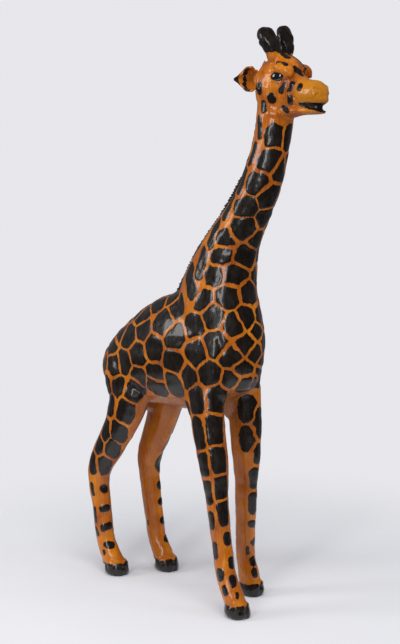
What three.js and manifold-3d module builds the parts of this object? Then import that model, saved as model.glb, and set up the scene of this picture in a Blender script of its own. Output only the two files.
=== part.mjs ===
// A standing giraffe moulded in one piece from papier-mache, caught mid-stride.
// Millimetres, +Z up. It faces -Y, so its left side is towards +X.
// The origin is on the ground, at the centre of the bounding box's underside.
import * as THREE from "three";
import { mergeVertices } from "three/addons/utils/BufferGeometryUtils.js";
import Module from "manifold-3d";

const wasm = await Module();
wasm.setup();

// Driving dimensions
const HOOF = { tall: 32, wide: 25, long: 27.5 }; // wide and long are half sizes
const HORN = { near: 15, far: 13.5 };
const EAR = { long: 20, tall: 25, thick: 6.5, swept: 27 };
const MANE = { thick: 5 };

// A place on the animal: to its left, forward, and up from the ground.
const place = (left, forward, up) => new THREE.Vector3(left, -forward, up);

// A closed three.js geometry as a manifold solid.
function solid(geometry) {
  const bare = geometry.clone();
  bare.deleteAttribute("normal");
  bare.deleteAttribute("uv");
  const merged = mergeVertices(bare, 1e-3);
  return new wasm.Manifold(
    new wasm.Mesh({
      numProp: 3,
      vertProperties: merged.attributes.position.array,
      triVerts: new Uint32Array(merged.index.array),
    }),
  );
}

// A round-ended limb lofted through stations [left, forward, up, halfWide, halfDeep].
// Wide is measured across the animal and deep at right angles to it and to the limb.
function limb(stations, { around = 18, rings = 24, cap = 0.1 } = {}) {
  const path = new THREE.CatmullRomCurve3(stations.map(([l, f, u]) => place(l, f, u)));
  const sizes = new THREE.CatmullRomCurve3(stations.map(([, , , w, d]) => new THREE.Vector3(w, d, 0)));
  path.curveType = sizes.curveType = "catmullrom";
  path.tension = sizes.tension = 0.5;
  const ball = new THREE.SphereGeometry(1, around, rings);
  const spots = ball.attributes.position;
  const across = new THREE.Vector3();
  const deep = new THREE.Vector3();
  for (let i = 0; i < spots.count; i++) {
    const v = Math.floor(i / (around + 1)) / rings;
    const turn = ((i % (around + 1)) / around) * 2 * Math.PI;
    const t = THREE.MathUtils.clamp(v - Math.sin(2 * Math.PI * v) / (4 * Math.PI), 0, 1);
    const inCap = Math.max(0, 1 - t / cap, 1 - (1 - t) / cap);
    const round = Math.sqrt(Math.max(0, 1 - inCap ** 2));
    const size = sizes.getPoint(t).multiplyScalar(round);
    const along = path.getTangent(t);
    across.set(1, 0, 0).addScaledVector(along, -along.x).normalize();
    deep.crossVectors(across, along);
    const at = path.getPoint(t);
    at.addScaledVector(across, size.x * Math.cos(turn));
    at.addScaledVector(deep, size.y * Math.sin(turn));
    spots.setXYZ(i, at.x, at.y, at.z);
  }
  return solid(ball);
}

// An ellipsoid of half sizes [wide, long, tall], its front tipped down by an angle in degrees.
function mass(at, [wide, long, tall], pitch = 0) {
  const ball = new THREE.SphereGeometry(1, 16, 10);
  ball.rotateX(Math.PI / 2).scale(wide, long, tall).rotateX(pitch * THREE.MathUtils.DEG2RAD);
  ball.translate(at.x, at.y, at.z);
  return solid(ball);
}

const joined = (pieces) => pieces.reduce((whole, piece) => whole.add(piece));
const sides = [-1, 1]; // the animal's right, then its left

function trunk() {
  const barrel = limb(
    [
      [0, -249, 444, 24, 32],
      [0, -220, 454, 50, 57],
      [0, -179, 470, 66, 82],
      [0, -130, 489, 74, 99],
      [0, -70, 509, 79, 117],
      [0, -10, 523, 82, 128],
      [0, 50, 532, 82, 127],
      [0, 100, 540, 76, 112],
      [0, 140, 546, 60, 84],
      [0, 165, 552, 40, 50],
    ],
    { around: 22, rings: 18, cap: 0.09 },
  );
  const haunches = sides.map((s) => mass(place(s * 36, -160, 446), [40, 56, 88], -14));
  const shoulders = sides.map((s) => mass(place(s * 48, 90, 496), [36, 60, 124], 6));
  return joined([barrel, ...haunches, ...shoulders]);
}

function neck() {
  return limb(
    [
      [0, 86, 430, 54, 60],
      [0, 90, 490, 72, 88],
      [0, 86, 550, 77, 101],
      [0, 79, 610, 73, 98],
      [0, 82, 660, 67, 88],
      [0, 97, 706, 61, 74],
      [0, 116, 750, 54, 60],
      [0, 142, 790, 47, 49],
      [0, 169, 832, 42, 43],
      [0, 193, 876, 38, 41],
      [0, 211, 924, 35, 38],
      [0, 222, 970, 34, 36],
      [0, 227, 1010, 36, 38],
      [0, 230, 1050, 34, 36],
    ],
    { around: 18, rings: 24, cap: 0.06 },
  );
}

function head() {
  const skull = limb(
    [
      [0, 190, 1074, 22, 28],
      [0, 207, 1071, 34, 49],
      [0, 232, 1064, 39, 62],
      [0, 259, 1060, 36, 54],
      [0, 281, 1054, 29, 40],
      [0, 301, 1050, 24, 28],
      [0, 319, 1048, 24, 25],
      [0, 335, 1047, 24, 23.5],
      [0, 351, 1045, 16, 17],
    ],
    { around: 18, rings: 20, cap: 0.11 },
  );
  const brows = sides.map((s) => mass(place(s * 29, 271, 1092), [14, 23, 15], 12));
  const crown = mass(place(0, 257, 1105), [28, 42, 19], 27);
  const lip = mass(place(0, 331, 1035), [21, 21, 11]);
  const mouth = mass(place(0, 312, 1020), [16, 30, 12]);
  const jaw = limb(
    [
      [0, 236, 1014, 28, 18],
      [0, 272, 1017, 22, 13],
      [0, 303, 1016, 19, 8],
      [0, 332, 1014, 16, 6],
      [0, 347, 1014, 10, 4],
    ],
    { around: 14, rings: 12, cap: 0.16 },
  );
  return joined([skull, ...brows, crown, lip, mouth, jaw]);
}

function horn(s, r, up) {
  return limb(
    [
      [s * 17, 241, up - 60, 15, 15],
      [s * 21, 237, up - 32, r - 1, r],
      [s * 25, 231, up - 13, r, r],
      [s * 28, 222, up - 2, r, r],
      [s * 30, 211, up - 5, 8, 8],
    ],
    { around: 12, rings: 14, cap: 0.2 },
  );
}

function ear(s) {
  const leaf = new THREE.SphereGeometry(1, 12, 12);
  leaf.rotateX(Math.PI / 2);
  const spots = leaf.attributes.position;
  const p = new THREE.Vector3();
  for (let i = 0; i < spots.count; i++) {
    p.fromBufferAttribute(spots, i);
    const out = Math.max(0, p.x);
    p.y = EAR.thick * p.y - 5 * p.z ** 2;
    p.z *= EAR.tall * (1 - 0.5 * out ** 2);
    p.x = EAR.long * p.x + 8 * out ** 6;
    spots.setXYZ(i, p.x, p.y, p.z);
  }
  leaf.rotateZ(EAR.swept * THREE.MathUtils.DEG2RAD);
  if (s < 0) {
    leaf.scale(-1, 1, 1);
    const index = leaf.index.array;
    for (let i = 0; i < index.length; i += 3) {
      [index[i + 1], index[i + 2]] = [index[i + 2], index[i + 1]];
    }
  }
  const root = place(s * 48, 205, 1077);
  leaf.translate(root.x, root.y, root.z);
  const stem = mass(place(s * 34, 211, 1077), [13, 8, 11]);
  return solid(leaf).add(stem);
}

function foreleg(s, shoulder, knee, fetlock, foot, splay) {
  const cannon = (share) => THREE.MathUtils.lerp(knee, fetlock, share);
  const pastern = (share) => THREE.MathUtils.lerp(fetlock, foot, share);
  return limb(
    [
      [s * 52, 84, 500, 28, 48],
      [s * 56, shoulder, 436, 31, 41],
      [s * 57, THREE.MathUtils.lerp(shoulder, knee, 0.35), 375, 30, 38],
      [s * 58, THREE.MathUtils.lerp(shoulder, knee, 0.72), 333, 29, 35],
      [s * 58, knee, 297, 28, 33],
      [s * 58, cannon(0.2), 250, 22.5, 26],
      [s * (58 + splay * 0.3), cannon(0.45), 198, 21.5, 25],
      [s * (58 + splay * 0.5), cannon(0.72), 149, 20, 23],
      [s * (58 + splay * 0.7), fetlock, 100, 19.5, 22.5],
      [s * (58 + splay * 0.9), pastern(0.25), 72, 19.5, 22.5],
      [s * (58 + splay), pastern(0.65), 45, 22, 24],
      [s * (58 + splay), foot, 18, 23, 25],
    ],
    { around: 12, rings: 21, cap: 0.04 },
  );
}

function hindleg(s, hip, hock, fetlock, foot, rise) {
  const thigh = (share) => -THREE.MathUtils.lerp(hip, hock, share);
  const cannon = (share) => -THREE.MathUtils.lerp(hock, fetlock, share);
  const pastern = (share) => -THREE.MathUtils.lerp(fetlock, foot, share);
  return limb(
    [
      [s * 38, -hip, 450, 34, 56],
      [s * 44, thigh(0.1), 404, 33, 50],
      [s * 48, thigh(0.26), 354 + rise, 30, 43],
      [s * 50, thigh(0.42), 327 + rise, 28, 39],
      [s * 50, thigh(0.61), 296 + rise, 27, 36],
      [s * 50, thigh(0.82), 265 + rise, 25, 33],
      [s * 50, thigh(0.96), 237 + rise, 23.5, 31],
      [s * 50, -hock, 206 + rise, 21, 27],
      [s * 50, cannon(0.55), 152, 20, 25],
      [s * 50, -fetlock, 98, 19, 23],
      [s * 50, pastern(0.17), 68, 19.5, 22.5],
      [s * 50, pastern(0.55), 42, 21.5, 24],
      [s * 48, -foot, 18, 23, 25],
    ],
    { around: 12, rings: 21, cap: 0.04 },
  );
}

// A blunt block with a flat sole on the ground.
function hoof(left, forward) {
  const ball = new THREE.SphereGeometry(1, 14, 10);
  const spots = ball.attributes.position;
  for (let i = 0; i < spots.count; i++) {
    const height = THREE.MathUtils.clamp(spots.getY(i) * 1.4, -1, 1);
    const round = Math.max(0.1, Math.hypot(spots.getX(i), spots.getZ(i)));
    const reach = round ** -0.75 * (1 - 0.06 * height);
    spots.setXYZ(i, spots.getX(i) * reach, -spots.getZ(i) * reach, (height + 1) / 2);
  }
  ball.scale(HOOF.wide, HOOF.long, HOOF.tall);
  const at = place(left, forward, 0);
  ball.translate(at.x, at.y, at.z);
  return solid(ball);
}

function mane() {
  return limb(
    [
      [0, -20, 638, MANE.thick, 8],
      [0, -30, 656, MANE.thick, 12],
      [0, 3, 694, MANE.thick, 12],
      [0, 29, 736, MANE.thick, 13],
      [0, 78, 788, MANE.thick, 12],
      [0, 116, 836, MANE.thick, 11],
      [0, 148, 884, MANE.thick, 10],
      [0, 173, 940, MANE.thick, 9],
      [0, 188, 1000, MANE.thick, 9],
      [0, 191, 1050, MANE.thick, 9],
      [0, 201, 1122, MANE.thick, 11],
    ],
    { around: 8, rings: 22, cap: 0.05 },
  );
}

const giraffeSolid = joined([
  trunk(),
  neck(),
  head(),
  mane(),
  horn(-1, HORN.near, 1163),
  horn(1, HORN.far, 1171),
  ...sides.map(ear),
  foreleg(-1, 95, 120, 152, 189, 6),
  foreleg(1, 101, 106, 105, 122, -1),
  hindleg(-1, 136, 241, 225, 187, 0),
  hindleg(1, 112, 182, 161, 124, 18),
  hoof(-64, 190),
  hoof(57, 124),
  hoof(-49, -185),
  hoof(47, -122),
]);

function geometryOf(made) {
  const { numProp, vertProperties, triVerts } = made.getMesh();
  const positions = new Float32Array((vertProperties.length / numProp) * 3);
  for (let i = 0; i < positions.length / 3; i++) {
    positions.set(vertProperties.subarray(i * numProp, i * numProp + 3), i * 3);
  }
  const geometry = new THREE.BufferGeometry();
  geometry.setAttribute("position", new THREE.BufferAttribute(positions, 3));
  geometry.setIndex(new THREE.BufferAttribute(triVerts, 1));
  geometry.computeVertexNormals();
  return geometry;
}

const paint = new THREE.MeshStandardMaterial({ color: 0xc87818, roughness: 0.35, metalness: 0 });
const shape = geometryOf(giraffeSolid);
shape.computeBoundingBox();
const middle = shape.boundingBox.getCenter(new THREE.Vector3());
shape.translate(-middle.x, -middle.y, -shape.boundingBox.min.z);
const giraffe = new THREE.Mesh(shape, paint);
giraffe.name = "giraffe";

const root = new THREE.Group();
root.add(giraffe);
export default root;
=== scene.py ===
import math
import random

import bmesh
import bpy
import numpy as np
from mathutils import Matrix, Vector, noise
from mathutils.bvhtree import BVHTree


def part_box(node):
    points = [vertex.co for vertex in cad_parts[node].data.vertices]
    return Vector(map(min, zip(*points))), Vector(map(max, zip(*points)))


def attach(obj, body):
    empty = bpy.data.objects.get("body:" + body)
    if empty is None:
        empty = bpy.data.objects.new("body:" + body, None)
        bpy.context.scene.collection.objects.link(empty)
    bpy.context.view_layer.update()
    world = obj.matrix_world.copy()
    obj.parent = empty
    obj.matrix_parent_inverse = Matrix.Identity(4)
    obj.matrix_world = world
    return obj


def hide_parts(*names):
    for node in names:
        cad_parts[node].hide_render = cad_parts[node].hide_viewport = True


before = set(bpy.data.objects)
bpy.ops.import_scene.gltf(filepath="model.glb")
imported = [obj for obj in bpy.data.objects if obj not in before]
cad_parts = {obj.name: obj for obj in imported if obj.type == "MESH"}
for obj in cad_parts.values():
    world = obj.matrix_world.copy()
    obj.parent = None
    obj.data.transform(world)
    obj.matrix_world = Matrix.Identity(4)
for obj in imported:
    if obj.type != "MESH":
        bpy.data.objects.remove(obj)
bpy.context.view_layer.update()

mm = 0.001
giraffeLow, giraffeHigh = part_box("giraffe")
ground = giraffeLow[2]


def toMetres(point):
    return Vector(point) * mm


# camera: in front of the right shoulder, a little above the back, looking slightly down
cameraKit = {
    "stand": (-1.8457, -1.7064, 0.900),
    "turn": -47.0,  # degrees off the animal's own nose line
    "dip": 7.1,
    "lens": 67.4,
}


def placeCamera(kit):
    data = bpy.data.cameras.new("studioCamera")
    data.lens = kit["lens"]
    data.clip_start, data.clip_end = 0.05, 60
    camera = bpy.data.objects.new("studioCamera", data)
    bpy.context.scene.collection.objects.link(camera)
    camera.location = kit["stand"]
    camera.rotation_euler = (math.radians(90 - kit["dip"]), 0, math.radians(kit["turn"]))
    bpy.context.scene.camera = camera


placeCamera(cameraKit)
print("camera placed")


# small tools shared by the pieces
def linkObject(name, data):
    piece = bpy.data.objects.new(name, data)
    bpy.context.scene.collection.objects.link(piece)
    return piece


def newPiece(name, vertices, faces, material, smooth=True):
    mesh = bpy.data.meshes.new(name)
    mesh.from_pydata([tuple(v) for v in vertices], [], faces)
    mesh.validate()
    mesh.polygons.foreach_set("use_smooth", [smooth] * len(mesh.polygons))
    mesh.materials.append(material)
    return linkObject(name, mesh)


def evaluatedCopy(source, name):
    graph = bpy.context.evaluated_depsgraph_get()
    mesh = bpy.data.meshes.new_from_object(source.evaluated_get(graph), depsgraph=graph)
    mesh.name = name
    bpy.data.objects.remove(source)
    return linkObject(name, mesh)


def coordinates(mesh):
    flat = np.empty(len(mesh.vertices) * 3)
    mesh.vertices.foreach_get("co", flat)
    return flat.reshape(-1, 3)


def vertexNormals(mesh):
    flat = np.empty(len(mesh.vertices) * 3, dtype=np.float32)
    mesh.vertex_normals.foreach_get("vector", flat)
    return flat.reshape(-1, 3).astype(float)


def writeBack(mesh, points):
    mesh.vertices.foreach_set("co", points.astype(np.float32).ravel())
    mesh.update()


def edgePairs(mesh):
    flat = np.empty(len(mesh.edges) * 2, dtype=np.int64)
    mesh.edges.foreach_get("vertices", flat)
    return flat.reshape(-1, 2)


def relaxed(points, pairs, rounds, push=0.5, pull=-0.53):
    a, b = pairs[:, 0], pairs[:, 1]
    size = len(points)
    count = np.bincount(a, minlength=size) + np.bincount(b, minlength=size)
    out = points.copy()
    for turn in range(rounds * 2):
        mean = np.empty_like(out)
        for axis in range(3):
            column = out[:, axis]
            mean[:, axis] = np.bincount(a, column[b], size) + np.bincount(b, column[a], size)
        out += (push if turn % 2 == 0 else pull) * (mean / count[:, None] - out)
    return out


def noiseField(points, size, seed):
    shift = Vector((seed * 17.3, seed * 7.9, seed * 3.1))
    scale = 1 / (size * mm)
    return np.array([noise.noise(Vector(p) * scale + shift) for p in points])


def pathDistance(points, path):
    # distance in millimetres from each vertex to a line through given spots
    best = np.full(len(points), 1e6)
    spots = [np.array(p, float) * mm for p in path]
    for a, b in zip(spots[:-1], spots[1:]):
        run = b - a
        along = np.clip((points - a) @ run / max(run @ run, 1e-12), 0, 1)
        best = np.minimum(best, np.linalg.norm(points - a - along[:, None] * run, axis=1))
    return best / mm


def softStep(values, low, high):
    t = np.clip((values - low) / (high - low), 0, 1)
    return t * t * (3 - 2 * t)


def store(mesh, name, values):
    attribute = mesh.attributes.new(name, "FLOAT", "POINT")
    attribute.data.foreach_set("value", values.astype(np.float32))


def mirrored(path):
    return tuple((-x, y, z) for x, y, z in path)


# the paper shell: the frame's solid, remeshed so that it can be worked like a skin of pasted paper
shellKit = {
    "voxel": 3.12,
    "rounds": 30,  # smoothing passes that melt the facets away
    "fineHead": 990,  # above this height and ahead of this depth the mesh is twice as fine
    "headBack": -125,
    "earRoot": 40.5,  # the ears are cut off here and modelled as leaves of their own
    "earMiddle": (-150, 1078),
    "earBlock": (60, 100, 80),
    "softSpots": (((0, 66, 640), 46), ((-52, -60, 470), 40), ((52, -60, 470), 40),
                  ((-46, 190, 455), 40), ((46, 170, 455), 40), ((0, 60, 700), 30)),
    "lumps": ((60, 1.5), (24, 0.9), (10, 0.34)),  # size and height of the hand-worked lumps
    "paintBody": 0.6,  # how thick the black paint stands
}


def copyOfSolid(name):
    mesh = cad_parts["giraffe"].data.copy()
    work = bmesh.new()
    work.from_mesh(mesh)
    bmesh.ops.remove_doubles(work, verts=work.verts, dist=1e-5)
    bmesh.ops.recalc_face_normals(work, faces=work.faces)
    work.to_mesh(mesh)
    work.free()
    mesh.materials.clear()
    return linkObject(name, mesh)


def cutEarsOff(piece, kit):
    wide, long, tall = kit["earBlock"]
    along, up = kit["earMiddle"]
    work = bmesh.new()
    for side in (-1, 1):
        block = bmesh.ops.create_cube(work, size=1)["verts"]
        for v in block:
            x = side * (kit["earRoot"] + (v.co.x + 0.5) * wide)
            v.co = Vector((x, along + v.co.y * long, up + v.co.z * tall)) * mm
    bmesh.ops.recalc_face_normals(work, faces=work.faces)
    mesh = bpy.data.meshes.new("earCutter")
    work.to_mesh(mesh)
    work.free()
    cutter = linkObject("earCutter", mesh)
    cut = piece.modifiers.new("earCut", "BOOLEAN")
    cut.operation, cut.solver, cut.object = "DIFFERENCE", "EXACT", cutter
    trimmed = evaluatedCopy(piece, "paperSolid")
    bpy.data.objects.remove(cutter)
    return trimmed


def remeshed(piece, voxel, name):
    modifier = piece.modifiers.new("paste", "REMESH")
    modifier.mode, modifier.voxel_size = "VOXEL", voxel * mm
    modifier.adaptivity = 0
    return evaluatedCopy(piece, name)


def refineHead(piece, kit):
    work = bmesh.new()
    work.from_mesh(piece.data)

    def inHead(vertex):
        return vertex.co.z > kit["fineHead"] * mm and vertex.co.y < kit["headBack"] * mm

    edges = [e for e in work.edges if all(inHead(v) for v in e.verts)]
    bmesh.ops.subdivide_edges(work, edges=edges, cuts=1, use_grid_fill=True)
    bmesh.ops.triangulate(work, faces=work.faces)
    work.to_mesh(piece.data)
    work.free()


def softened(points, pairs, spots, rounds=40):
    # melts the ledges where one limb runs into another
    weight = np.zeros(len(points))
    for spot, size in spots:
        d = np.linalg.norm(points / mm - np.array(spot), axis=1)
        weight = np.maximum(weight, softStep(-d, -size, -size * 0.4))
    a, b = pairs[:, 0], pairs[:, 1]
    count = np.bincount(a, minlength=len(points)) + np.bincount(b, minlength=len(points))
    out = points.copy()
    for _ in range(rounds):
        for axis in range(3):
            column = out[:, axis].copy()
            mean = (np.bincount(a, column[b], len(out)) + np.bincount(b, column[a], len(out))) / count
            out[:, axis] += weight * 0.6 * (mean - column)
    return out


shell = cutEarsOff(copyOfSolid("paperSolid"), shellKit)
shell = remeshed(shell, shellKit["voxel"], "giraffe_shell")
refineHead(shell, shellKit)
pairs = edgePairs(shell.data)
points = relaxed(coordinates(shell.data), pairs, shellKit["rounds"])
points = softened(points, pairs, shellKit["softSpots"])
writeBack(shell.data, points)
print("shell:", len(shell.data.vertices), "vertices,", len(shell.data.polygons), "triangles")

# coat: where each black patch sits on the skin, in millimetres
# x is towards the left side, y towards the tail, z up; the paint spreads from each mark by its reach
coatKit = {
    "gap": 6.0,  # width of the orange lines between patches
    "gapSway": 4.6,
    "corner": 0.28,  # 0 leaves the corners of the patches sharp, 1 rounds them off
    "warp": ((36, 3.8), (12, 2.0), (6, 0.8)),  # size and reach of the brush's wandering
    "reach": 31,
    "neckSpread": (-5, 12, 0),  # the neck's patches reach back towards the dashes by the mane
    "stride": 62,  # how much further forward the left hind leg stands, from the thigh down
    "strideFrom": (430, 200),  # the height where that begins, and the drop that it takes to be full
    "shift": 10,  # how differently the far flank is painted
    "shifts": {"marks": 4, "hindleg": 5, "face": 3},
    "seed": 11,
    "search": 110,  # patches further off than this are not neighbours
    "flank": (
        (-66, -52, 642), (-44, -104, 650), (-64, -80, 612), (-43, -119, 596), (-74, -38, 590),
        (-54, 24, 623), (-69, 55, 588), (-78, 14, 562), (-35, 96, 624), (-52, 136, 594),
        (-67, 120, 567), (-44, 211, 550), (-64, 164, 550), (-79, 75, 533), (-76, 127, 512),
        (-73, 170, 492), (-53, 228, 518), (-71, 210, 482), (-55, 250, 476), (-81, -49, 534),
        (-80, 16, 508), (-67, -92, 555), (-48, -118, 530), (-25, -137, 556), (-75, -84, 494),
        (-80, -27, 478), (-74, 76, 475), (-45, -112, 482), (-28, -131, 504), (4, -140, 582),
        (-2, -142, 535), (-20, -134, 608), (-74, 195, 432), (-30, 60, 638),
        (-10, 132, 640), (-26, 168, 610), (4, 188, 606), (-22, 214, 580), (2, 240, 566), (-30, 256, 540),
        (-4, 282, 526), (-34, 280, 496), (2, 305, 480), (-34, 292, 452), (0, 308, 436), (-44, 280, 418),
        (4, 92, 652),
    ),
    "neck": (
        (-27, -201, 971), (-26, -193, 921), (-34, -167, 880), (-38, -143, 834), (-31, -136, 788),
        (-48, -98, 772), (-49, -95, 732), (-56, -79, 697), (-30, -115, 696), (-13, -128, 732),
    ),
    "throat": (
        (12, -214, 966), (0, -202, 905), (-8, -180, 850), (2, -162, 806), (4, -142, 766),
        (-2, -124, 656), (28, -158, 850), (26, -140, 790), (32, -118, 738), (28, -116, 690),
    ),
    "marks": (  # each is drawn out from its top to its foot: top, foot, reach
        ((-33, -174, 1002), (-32, -171, 970), 7.5), ((-29, -159, 952), (-30, -148, 918), 9),
        ((-27, -135, 902), (-33, -122, 864), 10), ((-26, -106, 850), (-38, -90, 812), 11),
        ((-36, -72, 798), (-50, -62, 754), 13), ((-52, -47, 740), (-60, -38, 696), 14),
        ((-44, -6, 700), (-62, -24, 655), 16), ((-20, 20, 700), (-30, 34, 668), 12),
        ((-20, -36, 768), (-27, -18, 740), 7), ((-14, -84, 836), (-19, -62, 806), 6),
        ((-70, 126, 465), (-69, 128, 458), 25), ((-69, 24, 466), (-67, 24, 448), 23),
        ((-64, 88, 448), (-62, 70, 444), 22), ((-66, 140, 436), (-62, 160, 420), 24),
        ((-60, 228, 440), (-66, 228, 424), 17), ((-17, -124, 474), (-17, -122, 462), 18),
        ((22, -131, 498), (22, -128, 480), 20),
    ),
    "foreleg": (  # right foreleg, down its outer front
        ((-60, -91, 450), (-62, -92, 430), 24), ((-85, -48, 444), (-86, -51, 426), 25),
        ((-66, -14, 424), (-66, -22, 400), 9.3), ((-72, -93, 398), (-73, -95, 362), 19),
        ((-85, -54, 388), (-85, -62, 350), 17), ((-73, -100, 334), (-71, -104, 302), 18.5),
        ((-85, -70, 324), (-84, -74, 294), 14.2), ((-70, -107, 278), (-68, -108, 246), 17.5),
        ((-81, -80, 268), (-79, -83, 236), 13.2), ((-66, -111, 228), (-69, -115, 196), 14.2),
        ((-80, -89, 204), (-79, -92, 182), 8.8), ((-64, -121, 163), (-64, -123, 153), 9.8),
        ((-79, -99, 142), (-79, -101, 122), 8.3), ((-62, -130, 115), (-62, -133, 103), 7.8),
        ((-81, -116, 89), (-81, -118, 79), 9.8), ((-69, -140, 78), (-73, -144, 70), 8.8),
        ((-83, -130, 61), (-84, -133, 52), 7.8), ((-71, -155, 53), (-73, -157, 47), 4.3),
        ((-40, -70, 420), (-42, -72, 396), 12.2),
    ),
    "otherForeleg": (  # left foreleg, its outer front
        ((36, -86, 420), (38, -86, 398), 21), ((40, -87, 356), (41, -87, 334), 19.5),
        ((60, -96, 392), (62, -95, 358), 17), ((60, -94, 318), (62, -93, 298), 14.7),
        ((55, -91, 268), (58, -88, 244), 13.2), ((56, -87, 214), (58, -87, 188), 12.7),
        ((53, -85, 156), (62, -86, 154), 8.3), ((57, -85, 114), (64, -84, 117), 7.8),
        ((46, -80, 104), (46, -81, 93), 4.3), ((55, -88, 79), (56, -89, 71), 7.8),
        ((53, -95, 54), (54, -97, 46), 7.8), ((84, -50, 440), (84, -56, 410), 21),
        ((85, -58, 376), (84, -62, 344), 18), ((83, -64, 312), (81, -68, 284), 15.2),
        ((80, -66, 256), (79, -68, 228), 13.2), ((79, -64, 176), (78, -64, 164), 9.3),
        ((78, -60, 128), (78, -60, 118), 8.3), ((80, -66, 86), (80, -66, 78), 7.3),
    ),
    "hindleg": (
        ((-70, 221, 402), (-73, 219, 380), 19), ((-72, 168, 394), (-71, 172, 372), 22),
        ((-74, 231, 348), (-75, 234, 324), 17), ((-73, 192, 342), (-71, 197, 322), 21),
        ((-74, 252, 304), (-74, 257, 286), 15.7), ((-71, 214, 300), (-68, 221, 283), 20.5),
        ((-71, 280, 264), (-72, 279, 236), 13.2), ((-69, 244, 259), (-66, 250, 241), 19.5),
        ((-60, 252, 193), (-56, 258, 190), 9.3), ((-69, 285, 200), (-69, 281, 178), 6.3),
        ((-63, 257, 147), (-55, 250, 149), 8.8), ((-68, 278, 144), (-67, 273, 114), 5.8),
        ((-62, 252, 104), (-52, 246, 108), 8.8), ((-67, 274, 102), (-68, 267, 88), 5.8),
        ((-63, 243, 66), (-56, 236, 66), 8.8), ((-69, 247, 52), (-70, 246, 47), 4.3),
    ),
    "strayHind": (((33, 210, 107), (33, 208, 101), 3.5),),
    "face": (
        ((-36, -177, 1067), (-35, -176, 1054), 6.7), ((-32, -183, 1031), (-34, -186, 1020), 7.2),
        ((-34, -204, 1041), (-34, -205, 1038), 9.7), ((-32, -226, 1053), (-30, -232, 1062), 6.2),
        ((-27, -242, 1054), (-25, -248, 1065), 6.2), ((-21, -263, 1061), (-21, -262, 1058), 6.7),
        ((-25, -242, 1042), (-21, -240, 1031), 5.3), ((-20, -224, 1022), (-20, -231, 1016), 5.3),
        ((-30, -211, 1107), (-34, -240, 1101), 4.9), ((-16, -246, 1095), (-4, -257, 1085), 5.7),
        ((-12, -209, 1127), (-13, -225, 1118), 6.7),
    ),
}


def mirrorMarks(marks, dice, shift, stride=0, strideFrom=(0, 1)):
    out = []
    for top, foot, reach in marks:
        ahead = stride * min(1, max(0, (strideFrom[0] - top[2]) / strideFrom[1]))
        move = (0, dice.uniform(-shift, shift) - ahead, dice.uniform(-shift, shift))
        out.append((tuple((-p if i == 0 else p) + move[i] for i, p in enumerate(top)),
                    tuple((-p if i == 0 else p) + move[i] for i, p in enumerate(foot)), reach))
    return out


def allMarks(kit):
    dice = random.Random(kit["seed"])
    marks = []
    for name, spread in (("flank", (0, 0, 0)), ("neck", kit["neckSpread"])):
        row = [(p, tuple(a + b for a, b in zip(p, spread)), kit["reach"]) for p in kit[name]]
        marks += row + mirrorMarks([m for m in row if m[0][0] < -15], dice, kit["shift"])
    marks += [(p, p, kit["reach"]) for p in kit["throat"]]
    for name, shift in kit["shifts"].items():
        stride = kit["stride"] if name == "hindleg" else 0
        offMiddle = [m for m in kit[name] if m[0][0] < -8]
        marks += list(kit[name]) + mirrorMarks(offMiddle, dice, shift, stride, kit["strideFrom"])
    return marks + list(kit["foreleg"]) + list(kit["otherForeleg"]) + list(kit["strayHind"])


def settle(tree, marks):
    def onSkin(point):
        return np.array(tree.find_nearest(toMetres(point))[0])
    return [(onSkin(top), onSkin(foot), reach) for top, foot, reach in marks]


def nearestOnMark(points, top, foot):
    run = foot - top
    along = np.clip((points - top) @ run / max(run @ run, 1e-12), 0, 1)
    return top + along[:, None] * run


def coatField(points, marks, kit):
    # how far inside its patch each vertex lies, in millimetres; negative on the orange ground
    z = points[:, 2] / mm
    calm = 0.5 + 0.5 * softStep(z, 220, 330) * softStep(-z, -1010, -960)
    moved = points.copy()
    for level, (size, reach) in enumerate(kit["warp"]):
        for axis in range(3):
            moved[:, axis] += noiseField(points, size, 3 + level * 5 + axis) * calm * reach * mm
    half = (kit["gap"] + noiseField(points, 45, 21) * kit["gapSway"]) / 2
    first, second = np.full(len(points), 9.0), np.full(len(points), 9.0)
    inside, owner = np.full(len(points), -9.0), np.zeros(len(points), dtype=int)
    spot = np.zeros_like(points)
    for index, (top, foot, reach) in enumerate(marks):
        near = nearestOnMark(moved, top, foot)
        d = np.linalg.norm(moved - near, axis=1)
        closer = d < first
        second = np.where(closer, first, np.minimum(second, d))
        first = np.where(closer, d, first)
        inside = np.where(closer, reach * mm - d, inside)
        owner = np.where(closer, index, owner)
        spot = np.where(closer[:, None], near, spot)
    border = np.full(len(points), 9.0)
    for index, (top, foot, reach) in enumerate(marks):
        close = np.nonzero(np.linalg.norm(moved - (top + foot) / 2, axis=1) < kit["search"] * mm)[0]
        close = close[owner[close] != index]
        near = nearestOnMark(moved[close], top, foot)
        d = np.linalg.norm(moved[close] - near, axis=1)
        between = np.maximum(np.linalg.norm(near - spot[close], axis=1), 1e-4)
        border[close] = np.minimum(border[close], (d ** 2 - first[close] ** 2) / (2 * between))
    border = border * (1 - kit["corner"]) + (second - first) / 2 * kit["corner"]
    return np.minimum(border / mm - half, inside / mm)


# solid black: horns, brow strip, nape line, mouth and hooves
blackKit = {
    "hornLine": 1127,
    "strips": (
        (((4, -196, 1138), (8, -220, 1127), (11, -236, 1114), (15, -245, 1104)), 10),
        (((-24, -178, 1128), (-18, -160, 1122), (-6, -148, 1108), (0, -142, 1094)), 6),
        (((0, -144, 1100), (0, -139, 1050), (0, -136, 1000), (0, -122, 940), (0, -97, 884)), 5.5),
        (((0, 78, 652), (0, 49, 692), (0, 22, 736), (0, -26, 788), (0, -64, 836), (0, -97, 884)), 7),
    ),
    "mouth": {"back": -256, "front": -312, "lowBack": 1024, "lowFront": 1009.5, "highBack": 1031,
              "highFront": 1028},
    "hooves": ((-64, -148.4), (57, -82.4), (-49, 226.6), (47, 163.6)),
    "coronet": 27,  # height of the hoof's upper edge
}


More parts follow.
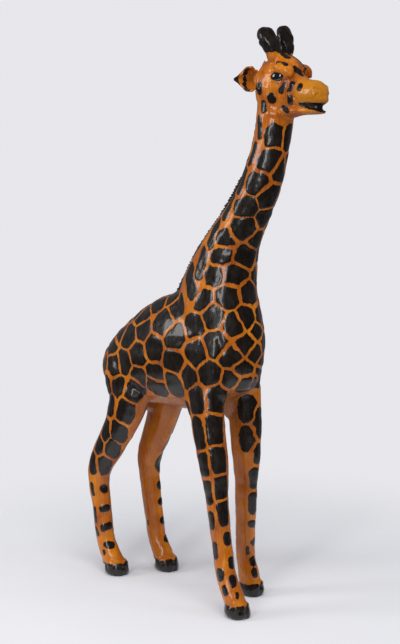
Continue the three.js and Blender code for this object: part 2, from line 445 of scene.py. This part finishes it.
def blackField(points, kit):
    x, y, z = (points / mm).T
    ragged = noiseField(points, 11, 40) * 2.4 + noiseField(points, 4.5, 41) * 0.8
    field = z - kit["hornLine"] + ragged * 1.5
    for path, reach in kit["strips"]:
        field = np.maximum(field, reach - pathDistance(points, path) + ragged)
    lip = kit["mouth"]
    run = np.clip((lip["back"] - y) / (lip["back"] - lip["front"]), 0, 1)
    low = lip["lowBack"] + (lip["lowFront"] - lip["lowBack"]) * run
    high = lip["highBack"] + (lip["highFront"] - lip["highBack"]) * run
    gape = np.minimum(np.minimum(z - low, high - z) + ragged * 0.5, lip["back"] - y)
    field = np.maximum(field, gape)
    for left, back in kit["hooves"]:
        near = np.hypot(x - left, y - back) < 48
        toe = np.clip((back - y) / 27, -1, 1)
        notch = 6 * np.exp(-((x - left) / 4) ** 2) * (toe > 0)
        line = kit["coronet"] + 7 * np.maximum(toe, 0) ** 2 - notch
        field = np.where(near, np.maximum(field, line - z + ragged), field)
    return field


# the head's modelling: paper rolls and creases worked over the skull, mirrored on the far side
# each is a line through spots, its radius and its height; a negative height is pressed in
reliefKit = {
    "noseTop": (((-12, -307, 1069), (0, -309, 1069), (12, -307, 1069)), 10, -3.2),
    "brow": (((-33, -201, 1099), (-37, -222, 1098), (-34, -240, 1090), (-30, -248, 1083)), 4.0, 4.4),
    "upperLid": (((-35, -205, 1088), (-37, -219, 1093), (-35, -234, 1085)), 2.4, 3.6),
    "lowerLid": (((-34, -206, 1075), (-35, -219, 1070), (-33, -234, 1078)), 2.4, 2.6),
    "browCrease": (((-35, -208, 1102), (-37, -225, 1101), (-33, -240, 1096)), 2.2, -1.8),
    "socket": (((-36, -212, 1081), (-36, -228, 1081)), 6.0, -3.0),
    "cheekCrease": (((-24, -244, 1046), (-21, -254, 1036), (-22, -262, 1028)), 3.0, -1.8),
    "mouth": (((-22, -262, 1028), (-19, -280, 1023), (-13, -300, 1020), (0, -309, 1019)), 4.6, -5.5),
    "lowerLip": (((-20, -268, 1017), (-15, -296, 1012), (0, -305, 1011)), 3.5, 1.6),
    "nostril": (((-19, -297, 1056), (-15, -303, 1053), (-15, -305, 1046), (-19, -300, 1042)), 2.4, -2.0),
    "nostrilRim": (((-21, -290, 1056), (-17, -296, 1060), (-11, -305, 1057)), 3.6, 1.8),
    "jawLine": (((-30, -196, 1012), (-24, -222, 1008), (-20, -246, 1009)), 5.0, 1.6),
}


# hooves: lumpy black shoes of paper, drawn in at the sole and split at the toe
hoofKit = {
    "cleft": (3.2, -3.0),  # width and depth of the groove down the toe
    "tuck": 0.16,  # how far the bottom edge draws in under the hoof
    "lump": (11, 1.8),
}


def workHooves(points, normals, kit, places):
    x, y, z = (points / mm).T
    out = points.copy()
    for left, back in places:
        near = softStep(-np.hypot(x - left, y - back), -50, -40) * softStep(-z, -44, -30)
        toe = softStep((back - y) / 27, 0.3, 0.8)
        width, depth = kit["cleft"]
        press = np.exp(-((x - left) / width) ** 2) * toe * depth * softStep(-z, -36, -24)
        press += noiseField(points, kit["lump"][0], 60) * kit["lump"][1]
        out += normals * (press * near * mm)[:, None]
        draw = 1 - kit["tuck"] * np.clip(1 - z / 11, 0, 1) ** 2 * near * (1.25 - 0.5 * toe)
        out[:, 0] = left * mm + (out[:, 0] - left * mm) * draw
        out[:, 1] = back * mm + (out[:, 1] - back * mm) * draw
    return out


# horns: thicker than the solid, with lumps
hornKit = {
    "fat": (2.6, 1.6),  # how much the right and the left horn are built up
    "lump": (13, 2.2),
    "tip": (-29, -161, 1157),  # a ragged end of paper stands out behind the right horn
    "pull": (-1, 9, -3.5),
    "pullSize": 5.5,
}


def workHorns(points, normals, kit):
    x, y, z = (points / mm).T
    up = softStep(z, 1122, 1140)
    grow = np.where(x < 0, kit["fat"][0], kit["fat"][1])
    grow = grow + noiseField(points, kit["lump"][0], 62) * kit["lump"][1]
    out = points + normals * (grow * up * mm)[:, None]
    d = np.linalg.norm(points / mm - np.array(kit["tip"]), axis=1)
    return out + np.exp(-(d / kit["pullSize"]) ** 2)[:, None] * np.array(kit["pull"]) * mm


def workRelief(points, normals, kit):
    for path, radius, height in kit.values():
        for line in (path, mirrored(path)):
            press = np.exp(-((pathDistance(points, line) / radius) ** 2)) * height * mm
            points = points + normals * press[:, None]
    return points


tree = BVHTree.FromPolygons([Vector(p) for p in points], [tuple(f.vertices) for f in shell.data.polygons])
marks = settle(tree, allMarks(coatKit))
paint = np.maximum(coatField(points, marks, coatKit), blackField(points, blackKit))
print("coat:", len(marks), "marks")

normals = vertexNormals(shell.data)
points = workRelief(points, normals, reliefKit)
points = workHooves(points, normals, hoofKit, blackKit["hooves"])
points = workHorns(points, normals, hornKit)
for size, height in shellKit["lumps"]:
    points = points + normals * (noiseField(points, size, size) * height * mm)[:, None]
points = points + normals * (softStep(paint, -0.8, 2.4) * shellKit["paintBody"] * mm)[:, None]
points[:, 2] = np.maximum(points[:, 2], ground)
writeBack(shell.data, points)

x, y, z = (points / mm).T
# painted shade: faces turned down under the belly and turned in on the legs are marked here to be painted
# browner
undersideShade = softStep(-normals[:, 2], 0.2, 0.8) * softStep(z, 330, 380) * softStep(-z, -520, -440)
innerLegShade = softStep(-normals[:, 0] * np.sign(x), 0.1, 0.6) * softStep(-z, -440, -380)
brownToneAndPaintedShade = np.clip(undersideShade + innerLegShade * 0.7, 0, 1)
muzzle = softStep(-np.linalg.norm(points / mm - np.array((0, -285, 1048)), axis=1), -48, -22)
print("shell worked")


def cutShell(name, mesh, keep, fields):
    # takes some of the shell's faces as a closed piece, and keeps the whole shell's normals on them
    triangles = np.empty(len(mesh.polygons) * 3, dtype=np.int64)
    mesh.polygons.foreach_get("vertices", triangles)
    triangles = triangles.reshape(-1, 3)
    whole, smooth = coordinates(mesh), vertexNormals(mesh)
    chosen = triangles[keep(whole[triangles].mean(axis=1))]
    used, faces = np.unique(chosen, return_inverse=True)
    part = bpy.data.meshes.new(name)
    part.from_pydata(whole[used].tolist(), [], faces.reshape(-1, 3).tolist())
    for label, values in fields.items():
        store(part, label, values[used])
    work = bmesh.new()
    work.from_mesh(part)
    rim = [e for e in work.edges if e.is_boundary]
    bmesh.ops.holes_fill(work, edges=rim, sides=0)
    bmesh.ops.triangulate(work, faces=[f for f in work.faces if len(f.verts) > 3])
    work.to_mesh(part)
    work.free()
    part.polygons.foreach_set("use_smooth", [True] * len(part.polygons))
    part.normals_split_custom_set_from_vertices(smooth[used].tolist())
    return linkObject(name, part)


def isHead(centres):
    return (centres[:, 2] > shellKit["fineHead"] * mm) & (centres[:, 1] < shellKit["headBack"] * mm)


fields = {"paint": paint, "brownToneAndPaintedShade": brownToneAndPaintedShade, "muzzle": muzzle}
headPiece = cutShell("giraffe_head", shell.data, isHead, fields)
bodyPiece = cutShell("giraffe_body", shell.data, lambda centres: ~isHead(centres), fields)
bpy.data.objects.remove(shell)
print("head", len(headPiece.data.polygons), "body", len(bodyPiece.data.polygons), "triangles")


class Shelf:
    # adds nodes to one material and wires them
    def __init__(self, material):
        material.use_nodes = True
        self.tree = material.node_tree
        self.tree.nodes.clear()

    def put(self, kind, inputs=None, **settings):
        node = self.tree.nodes.new(kind)
        for key, value in settings.items():
            setattr(node, key, value)
        for key, value in (inputs or {}).items():
            socket = node.inputs[key]
            if isinstance(value, bpy.types.NodeSocket):
                self.tree.links.new(value, socket)
            else:
                socket.default_value = value
        return node

    def attribute(self, name):
        return self.put("ShaderNodeAttribute", attribute_name=name).outputs["Fac"]

    def sums(self, operation, *values):
        return self.put("ShaderNodeMath", dict(enumerate(values)), operation=operation).outputs[0]

    def ramp(self, value, stops):
        node = self.put("ShaderNodeValToRGB", {"Fac": value})
        band = node.color_ramp.elements
        for index, (place, colour) in enumerate(stops):
            stop = band[index] if index < 2 else band.new(place)
            stop.position, stop.color = place, (*colour, 1)
        return node.outputs[0]

    def blend(self, factor, under, over):
        node = self.put("ShaderNodeMix", {0: factor}, data_type="RGBA")
        for index, value in ((6, under), (7, over)):
            if isinstance(value, bpy.types.NodeSocket):
                self.tree.links.new(value, node.inputs[index])
            else:
                node.inputs[index].default_value = (*value, 1)
        return node.outputs[2]

    def range(self, value, low, high, toLow=0.0, toHigh=1.0):
        return self.put("ShaderNodeMapRange", {
            "Value": value, "From Min": low, "From Max": high, "To Min": toLow, "To Max": toHigh,
        }).outputs[0]

    def grain(self, place, scale, stretch=(1, 1, 1), detail=3.0, rough=0.5):
        turned = self.put("ShaderNodeMapping", {"Vector": place, "Scale": stretch}).outputs[0]
        return self.put("ShaderNodeTexNoise", {
            "Vector": turned, "Scale": scale, "Detail": detail, "Roughness": rough,
        }).outputs["Fac"]


# paint: orange ground and black patches under one coat of varnish
lacquerKit = {
    "deepOrange": (0.27, 0.056, 0.001),
    "orange": (0.42, 0.108, 0.002),
    "brightOrange": (0.56, 0.18, 0.004),
    "tan": (0.40, 0.19, 0.05),
    # brown: the painted shade under the belly and inside the legs, and the smudge round the patches
    "brown": (0.24, 0.062, 0.004),
    "ochre": (0.46, 0.19, 0.006),
    "black": (0.0085, 0.0055, 0.004),
    "softBlack": (0.019, 0.014, 0.011),
    "edge": 0.3,  # half width of the paint edge
}


def lacquerMaterial(kit):
    material = bpy.data.materials.new("lacqueredPaper")
    s = Shelf(material)
    place = s.put("ShaderNodeTexCoord").outputs["Object"]
    paintMark, brownToneAndPaintedShade, ochre = s.attribute("paint"), s.attribute("brownToneAndPaintedShade"), s.attribute("muzzle")
    strokes = s.grain(place, 330, (1, 1, 0.10), 3)
    broad = s.grain(place, 26, (1, 1, 0.55), 3)
    ragged = s.grain(place, 230, (1, 1, 0.6), 3)
    dabs = s.grain(place, 75, (1, 1, 0.45), 4, 0.6)
    shifted = s.sums("MULTIPLY_ADD", s.sums("SUBTRACT", ragged, 0.5), 2.6, paintMark)
    mask = s.range(shifted, -kit["edge"], kit["edge"])
    smudge = s.range(shifted, -2.4, 0.0)
    # orange: long brush strokes over broad patches of thicker and thinner paint
    stroke = s.sums("MULTIPLY_ADD", broad, 0.75, s.sums("MULTIPLY", strokes, 0.28))
    orange = s.ramp(stroke, ((0.36, kit["deepOrange"]), (0.66, kit["brightOrange"]),
                             (0.50, kit["orange"])))
    orange = s.blend(s.range(dabs, 0.60, 0.72, 0, 0.45), orange, kit["tan"])
    # painted shade: the belly and the inner legs are turned brown where the mark says; the ears carry their
    # own brown in the same mark
    orange = s.blend(s.sums("MULTIPLY", brownToneAndPaintedShade, 0.75), orange, kit["brown"])
    orange = s.blend(s.sums("MULTIPLY", ochre, 0.6), orange, kit["ochre"])
    orange = s.blend(s.sums("MULTIPLY", smudge, 0.35), orange, kit["brown"])
    black = s.blend(s.range(dabs, 0.45, 0.75), kit["black"], kit["softBlack"])
    colour = s.blend(mask, orange, black)
    rough = s.range(s.sums("MULTIPLY_ADD", strokes, 0.6, s.sums("MULTIPLY", dabs, 0.4)), 0.3, 0.75, 0.2, 0.46)
    relief = s.sums("MULTIPLY_ADD", strokes, 0.45, s.sums("MULTIPLY", mask, 0.9))
    relief = s.sums("MULTIPLY_ADD", dabs, 1.6, relief)
    bump = s.put("ShaderNodeBump", {"Strength": 0.55, "Distance": 0.0009, "Height": relief}).outputs[0]
    shader = s.put("ShaderNodeBsdfPrincipled", {
        "Base Color": colour, "Roughness": rough, "Coat Weight": 0.42, "Coat Roughness": 0.09,
        "Specular IOR Level": 0.32, "Normal": bump})
    s.put("ShaderNodeOutputMaterial", {"Surface": shader.outputs[0]})
    return material


lacquer = lacquerMaterial(lacquerKit)
for piece in (headPiece, bodyPiece):
    piece.data.materials.append(lacquer)
    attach(piece, "root")
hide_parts("giraffe")


# ears: leaves of pasted paper, rolled towards the front and pointed at the tip
earKit = {
    "root": (-35, -164, 1077),
    "swept": 27,  # degrees towards the tail
    "long": 43,
    "halfTall": ((0, 7), (0.1, 15), (0.28, 22.5), (0.5, 22), (0.66, 13), (0.82, 5.5), (1, 0.8)),
    "roll": ((0, 120), (0.3, 96), (0.65, 66), (1, 30)),  # degrees that each edge curls round
    "thick": 4.2,
    "lumps": ((14, 1.0), (6, 0.4)),
}


def alongTable(table, value):
    places, amounts = zip(*table)
    return float(np.interp(value, places, amounts))


def addEar(name, side, kit, material):
    across, lengths = 26, 22
    turn = math.radians(kit["swept"])
    out = Vector((-math.cos(turn), math.sin(turn), 0))
    ahead = Vector((-math.sin(turn), -math.cos(turn), 0))
    vertices, faces = [], []
    for i in range(lengths + 1):
        a = i / lengths
        tall, roll = alongTable(kit["halfTall"], a), math.radians(alongTable(kit["roll"], a))
        radius = tall / math.sin(min(roll, math.pi / 2))
        for j in range(across + 1):
            b = 2 * j / across - 1
            rise = radius * math.sin(b * roll)
            cup = radius * (1 - math.cos(b * roll)) * 0.8
            spot = Vector(kit["root"]) + out * (kit["long"] * a) + ahead * (cup - 4) + Vector((0, 0, rise))
            vertices.append(spot * mm)
    for i in range(lengths):
        for j in range(across):
            k = i * (across + 1) + j
            faces.append((k, k + 1, k + across + 2, k + across + 1))
    leaf = newPiece(name, vertices, faces, material)
    wall = leaf.modifiers.new("wall", "SOLIDIFY")
    wall.thickness, wall.offset = kit["thick"] * mm, 0
    soft = leaf.modifiers.new("soft", "SUBSURF")
    soft.levels = soft.render_levels = 2
    ear = evaluatedCopy(leaf, name)
    mesh = ear.data
    work = bmesh.new()
    work.from_mesh(mesh)
    bmesh.ops.recalc_face_normals(work, faces=work.faces)
    work.to_mesh(mesh)
    work.free()
    spots, normals = coordinates(mesh), vertexNormals(mesh)
    for size, height in kit["lumps"]:
        spots = spots + normals * (noiseField(spots, size, size + 2) * height * mm)[:, None]
    # the hollow is brushed dark towards the tip, and the rolled edges stay brown
    run = (spots / mm - np.array(kit["root"])) @ np.array(out) / kit["long"]
    facing = normals @ np.array(ahead)
    streak = noiseField(spots * np.array((0.5, 0.5, 1.6)), 9, 77)
    dark = 4.2 * np.exp(-((run - 0.5) / 0.15) ** 2) * softStep(facing, 0.0, 0.5) + 3.2 * streak - 2.9
    dark = np.maximum(dark, 9 * softStep(run, 0.66, 0.9) - 4 + 3 * streak)
    if side > 0:
        spots[:, 0] *= -1
        mesh.flip_normals()
    writeBack(mesh, spots)
    store(mesh, "paint", dark)
    # the ears' own brown, kept in the same field that holds the body's painted shade
    store(mesh, "brownToneAndPaintedShade", np.clip(0.55 + streak * 0.6, 0, 1))
    store(mesh, "muzzle", np.zeros(len(spots)))
    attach(ear, "root")


addEar("ear_right", -1, earKit, lacquer)
addEar("ear_left", 1, earKit, lacquer)
print("ears rolled")


# mane: short ribs of rolled paper laid across the ridge of the neck
maneKit = {
    "path": ((0, 78, 652), (0, 52, 680), (0, 22, 720), (0, -14, 760), (0, -48, 800), (0, -80, 842),
             (0, -106, 884)),
    "spacing": 7,
    "sunk": 2.6,  # how deep the middle of each rib lies under the ridge
    "rib": (6.5, 3.6, 4.2),  # half sizes: across the neck, along it, and out from it
    "seed": 4,
}


def maneLacquer():
    material = bpy.data.materials.new("maneLacquer")
    s = Shelf(material)
    place = s.put("ShaderNodeTexCoord").outputs["Object"]
    streak = s.grain(place, 190, (1, 1, 1), 4)
    colour = s.ramp(streak, ((0.35, (0.008, 0.008, 0.009)), (0.6, (0.03, 0.022, 0.016)),
                             (0.8, (0.10, 0.045, 0.015))))
    bump = s.put("ShaderNodeBump", {"Strength": 0.5, "Distance": 0.0008, "Height": streak}).outputs[0]
    shader = s.put("ShaderNodeBsdfPrincipled", {
        "Base Color": colour, "Roughness": 0.3, "Coat Weight": 0.6, "Coat Roughness": 0.12, "Normal": bump})
    s.put("ShaderNodeOutputMaterial", {"Surface": shader.outputs[0]})
    return material


def maneTree():
    tree = bpy.data.node_groups.new("maneRibs", "GeometryNodeTree")
    face = tree.interface
    face.new_socket(name="Geometry", in_out="INPUT", socket_type="NodeSocketGeometry")
    named = (("Spacing", "Float"), ("Rib size", "Vector"), ("Seed", "Int"), ("Material", "Material"))
    for name, kind in named:
        face.new_socket(name=name, in_out="INPUT", socket_type="NodeSocket" + kind)
    face.new_socket(name="Geometry", in_out="OUTPUT", socket_type="NodeSocketGeometry")

    def put(kind, **settings):
        node = tree.nodes.new(kind)
        for key, value in settings.items():
            setattr(node, key, value)
        return node

    def wire(*ends):
        for a, b in zip(ends[::2], ends[1::2]):
            tree.links.new(a, b)

    start, end = put("NodeGroupInput"), put("NodeGroupOutput")
    curve = put("GeometryNodeMeshToCurve")
    even = put("GeometryNodeResampleCurve", mode="LENGTH")
    rib = put("GeometryNodeMeshUVSphere")
    rib.inputs["Segments"].default_value, rib.inputs["Rings"].default_value = 10, 7
    rib.inputs["Radius"].default_value = 1
    tangent = put("GeometryNodeInputTangent")
    turn = put("FunctionNodeAlignRotationToVector", axis="Y")
    lean = put("FunctionNodeRandomValue", data_type="FLOAT_VECTOR")
    lean.inputs[0].default_value, lean.inputs[1].default_value = (-0.25, -0.12, -0.3), (0.3, 0.12, 0.3)
    asTurn = put("FunctionNodeEulerToRotation")
    both = put("FunctionNodeRotateRotation", rotation_space="LOCAL")
    vary = put("FunctionNodeRandomValue", data_type="FLOAT")
    vary.inputs[2].default_value, vary.inputs[3].default_value = 0.75, 1.2
    size = put("ShaderNodeVectorMath", operation="SCALE")
    place = put("GeometryNodeInstanceOnPoints")
    real = put("GeometryNodeRealizeInstances")
    smooth = put("GeometryNodeSetShadeSmooth")
    dress = put("GeometryNodeSetMaterial")
    wire(start.outputs["Geometry"], curve.inputs[0], curve.outputs[0], even.inputs["Curve"],
         start.outputs["Spacing"], even.inputs["Length"], even.outputs[0], place.inputs["Points"],
         rib.outputs["Mesh"], place.inputs["Instance"], tangent.outputs[0], turn.inputs["Vector"],
         start.outputs["Seed"], lean.inputs["Seed"], start.outputs["Seed"], vary.inputs["Seed"],
         lean.outputs[0], asTurn.inputs[0], turn.outputs[0], both.inputs[0],
         asTurn.outputs[0], both.inputs[1], both.outputs[0], place.inputs["Rotation"],
         start.outputs["Rib size"], size.inputs[0],
         vary.outputs[1], size.inputs["Scale"], size.outputs[0], place.inputs["Scale"],
         place.outputs[0], real.inputs[0], real.outputs[0], smooth.inputs[0], smooth.outputs[0],
         dress.inputs[0], start.outputs["Material"], dress.inputs["Material"],
         dress.outputs[0], end.inputs[0])
    return tree


def addMane(kit, skin):
    # the path is laid on the ridge itself, so the ribs always sit half sunk in it
    spots = []
    for spot in kit["path"]:
        hit = skin.ray_cast(toMetres((0, spot[1] + 90, spot[2] + 60)), Vector((0, -90, -60)).normalized())[0]
        deep = Vector((0, -0.83, -0.55)) * kit["sunk"] * mm
        spots.append((hit if hit is not None else toMetres(spot)) + deep)
    mesh = bpy.data.meshes.new("maneLine")
    mesh.from_pydata([tuple(p) for p in spots], [(i, i + 1) for i in range(len(spots) - 1)], [])
    line = linkObject("maneLine", mesh)
    tree = maneTree()
    modifier = line.modifiers.new("ribs", "NODES")
    modifier.node_group = tree
    sockets = {item.name: item.identifier for item in tree.interface.items_tree if item.in_out == "INPUT"}
    modifier[sockets["Spacing"]] = kit["spacing"] * mm
    modifier[sockets["Rib size"]] = [r * mm for r in kit["rib"]]
    modifier[sockets["Seed"]] = kit["seed"]
    modifier[sockets["Material"]] = maneLacquer()
    ribs = evaluatedCopy(line, "mane_ribs")
    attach(ribs, "root")
    print("mane:", len(ribs.data.polygons), "faces")


addMane(maneKit, tree)


# eyes: glossy black almonds set between the lids
eyeKit = {
    "middle": (-35, -220, 1081),
    "half": (6.6, 15.5, 9.4),  # out from the head, along it, up
    "turnOut": 8,
}


def eyeMaterial():
    material = bpy.data.materials.new("eyeLacquer")
    s = Shelf(material)
    place = s.put("ShaderNodeTexCoord").outputs["Object"]
    wave = s.grain(place, 160, (1, 1, 1), 2)
    colour = s.ramp(wave, ((0.35, (0.004, 0.004, 0.005)), (0.7, (0.014, 0.012, 0.012))))
    bump = s.put("ShaderNodeBump", {"Strength": 0.2, "Distance": 0.0006, "Height": wave}).outputs[0]
    shader = s.put("ShaderNodeBsdfPrincipled", {
        "Base Color": colour, "Roughness": 0.1, "Coat Weight": 1.0, "Coat Roughness": 0.03, "Normal": bump})
    s.put("ShaderNodeOutputMaterial", {"Surface": shader.outputs[0]})
    return material


def addEye(name, side, kit, material):
    work = bmesh.new()
    bmesh.ops.create_uvsphere(work, u_segments=40, v_segments=24, radius=1)
    out, length, tall = kit["half"]
    turn = math.radians(kit["turnOut"])
    for v in work.verts:
        x, y, z = v.co
        tallness = tall * (1 - 0.35 * max(0, -y) ** 2) * (1 - 0.12 * max(0, y))
        p = Vector((x * out, y * length, z * tallness - y * 0.8))
        p = Vector((p.x * math.cos(turn) - p.y * math.sin(turn),
                    p.x * math.sin(turn) + p.y * math.cos(turn), p.z))
        p += Vector(kit["middle"])
        v.co = Vector((p.x if side < 0 else -p.x, p.y, p.z)) * mm
    bmesh.ops.recalc_face_normals(work, faces=work.faces)
    mesh = bpy.data.meshes.new(name)
    work.to_mesh(mesh)
    work.free()
    mesh.materials.append(material)
    mesh.polygons.foreach_set("use_smooth", [True] * len(mesh.polygons))
    eye = linkObject(name, mesh)
    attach(eye, "root")


eyeGloss = eyeMaterial()
addEye("eye_right", -1, eyeKit, eyeGloss)
addEye("eye_left", 1, eyeKit, eyeGloss)
print("eyes set")


# studio: pale floor that fades into the air, soft boxes at the animal's right
studioKit = {
    "floor": (0.80, 0.80, 0.82),
    "air": (0.80, 0.80, 0.835),
    "fill": (0.42, 0.43, 0.46),  # light that the white walls give back
    "darkSide": (0.012, 0.012, 0.012),  # what the varnish mirrors from behind the camera
    "paleSide": (0.15, 0.15, 0.165),  # and from the backdrop
    "backdrop": (0.73, 0.68, 0.0),
    "boxes": (  # name, place, aim, width and height, watts, mirrored in the varnish or not
        ("sideBox", (-2.5, -0.7, 1.25), (0, 0, 0.8), (0.45, 1.9), 24, True),
        ("rearBox", (-2.0, 1.7, 1.6), (0, 0, 0.6), (0.8, 1.5), 22, True),
        ("topBox", (-0.9, -1.1, 2.9), (0, 0, 0.5), (1.8, 1.8), 40, False),
        ("fillBox", (1.2, -2.8, 1.3), (0, 0, 0.7), (1.0, 1.6), 14, False),
    ),
}


def floorMaterial(kit):
    material = bpy.data.materials.new("paleFloor")
    s = Shelf(material)
    place = s.put("ShaderNodeTexCoord").outputs["Object"]
    speck = s.grain(place, 3, (1, 1, 1), 2)
    far = s.put("ShaderNodeVectorMath", {0: place}, operation="LENGTH").outputs["Value"]
    fade = s.range(far, 0.30, 1.15)
    fade = s.put("ShaderNodeMapRange", {"Value": fade}, interpolation_type="SMOOTHSTEP").outputs[0]
    colour = s.blend(s.range(speck, 0.3, 0.7), kit["floor"], tuple(c * 1.02 for c in kit["floor"]))
    shader = s.put("ShaderNodeBsdfPrincipled", {
        "Base Color": colour, "Roughness": 0.9, "Specular IOR Level": 0.1})
    clear = s.put("ShaderNodeBsdfTransparent")
    mix = s.put("ShaderNodeMixShader", {0: fade, 1: shader.outputs[0], 2: clear.outputs[0]})
    s.put("ShaderNodeOutputMaterial", {"Surface": mix.outputs[0]})
    return material


def studioAir(kit):
    # the camera sees an even pale air, the paint is lit by it, and the varnish mirrors a darker room
    world = bpy.data.worlds.new("studioAir")
    s = Shelf(world)

    def light(colour):
        return s.put("ShaderNodeBackground", {0: (*colour, 1)}).outputs[0]

    way = s.put("ShaderNodeTexCoord").outputs["Generated"]
    facing = s.put("ShaderNodeVectorMath", {0: way, 1: kit["backdrop"]},
                   operation="DOT_PRODUCT").outputs["Value"]
    inVarnish = s.put("ShaderNodeMixShader", {
        0: s.range(facing, -0.1, 0.6), 1: light(kit["darkSide"]), 2: light(kit["paleSide"])}).outputs[0]
    ray = s.put("ShaderNodeLightPath").outputs
    lit = s.put("ShaderNodeMixShader", {
        0: ray["Is Glossy Ray"], 1: light(kit["fill"]), 2: inVarnish}).outputs[0]
    seen = s.put("ShaderNodeMixShader", {
        0: ray["Is Camera Ray"], 1: lit, 2: light(kit["air"])}).outputs[0]
    s.put("ShaderNodeOutputWorld", {"Surface": seen})
    return world


def studio(kit):
    half = 3
    floor = newPiece("floor", [(-half, -half, 0), (half, -half, 0), (half, half, 0), (-half, half, 0)],
                     [(0, 1, 2, 3)], floorMaterial(kit), False)
    bpy.context.scene.world = studioAir(kit)
    bpy.context.scene.view_settings.view_transform = "Standard"
    for name, place, aim, size, watts, inVarnish in kit["boxes"]:
        data = bpy.data.lights.new(name, "AREA")
        data.shape, data.size, data.size_y = "RECTANGLE", size[0], size[1]
        data.energy = watts
        lamp = linkObject(name, data)
        lamp.location = place
        lamp.rotation_euler = (Vector(aim) - Vector(place)).to_track_quat("-Z", "Y").to_euler()
        lamp.visible_glossy = inVarnish


studio(studioKit)
print("studio lit")
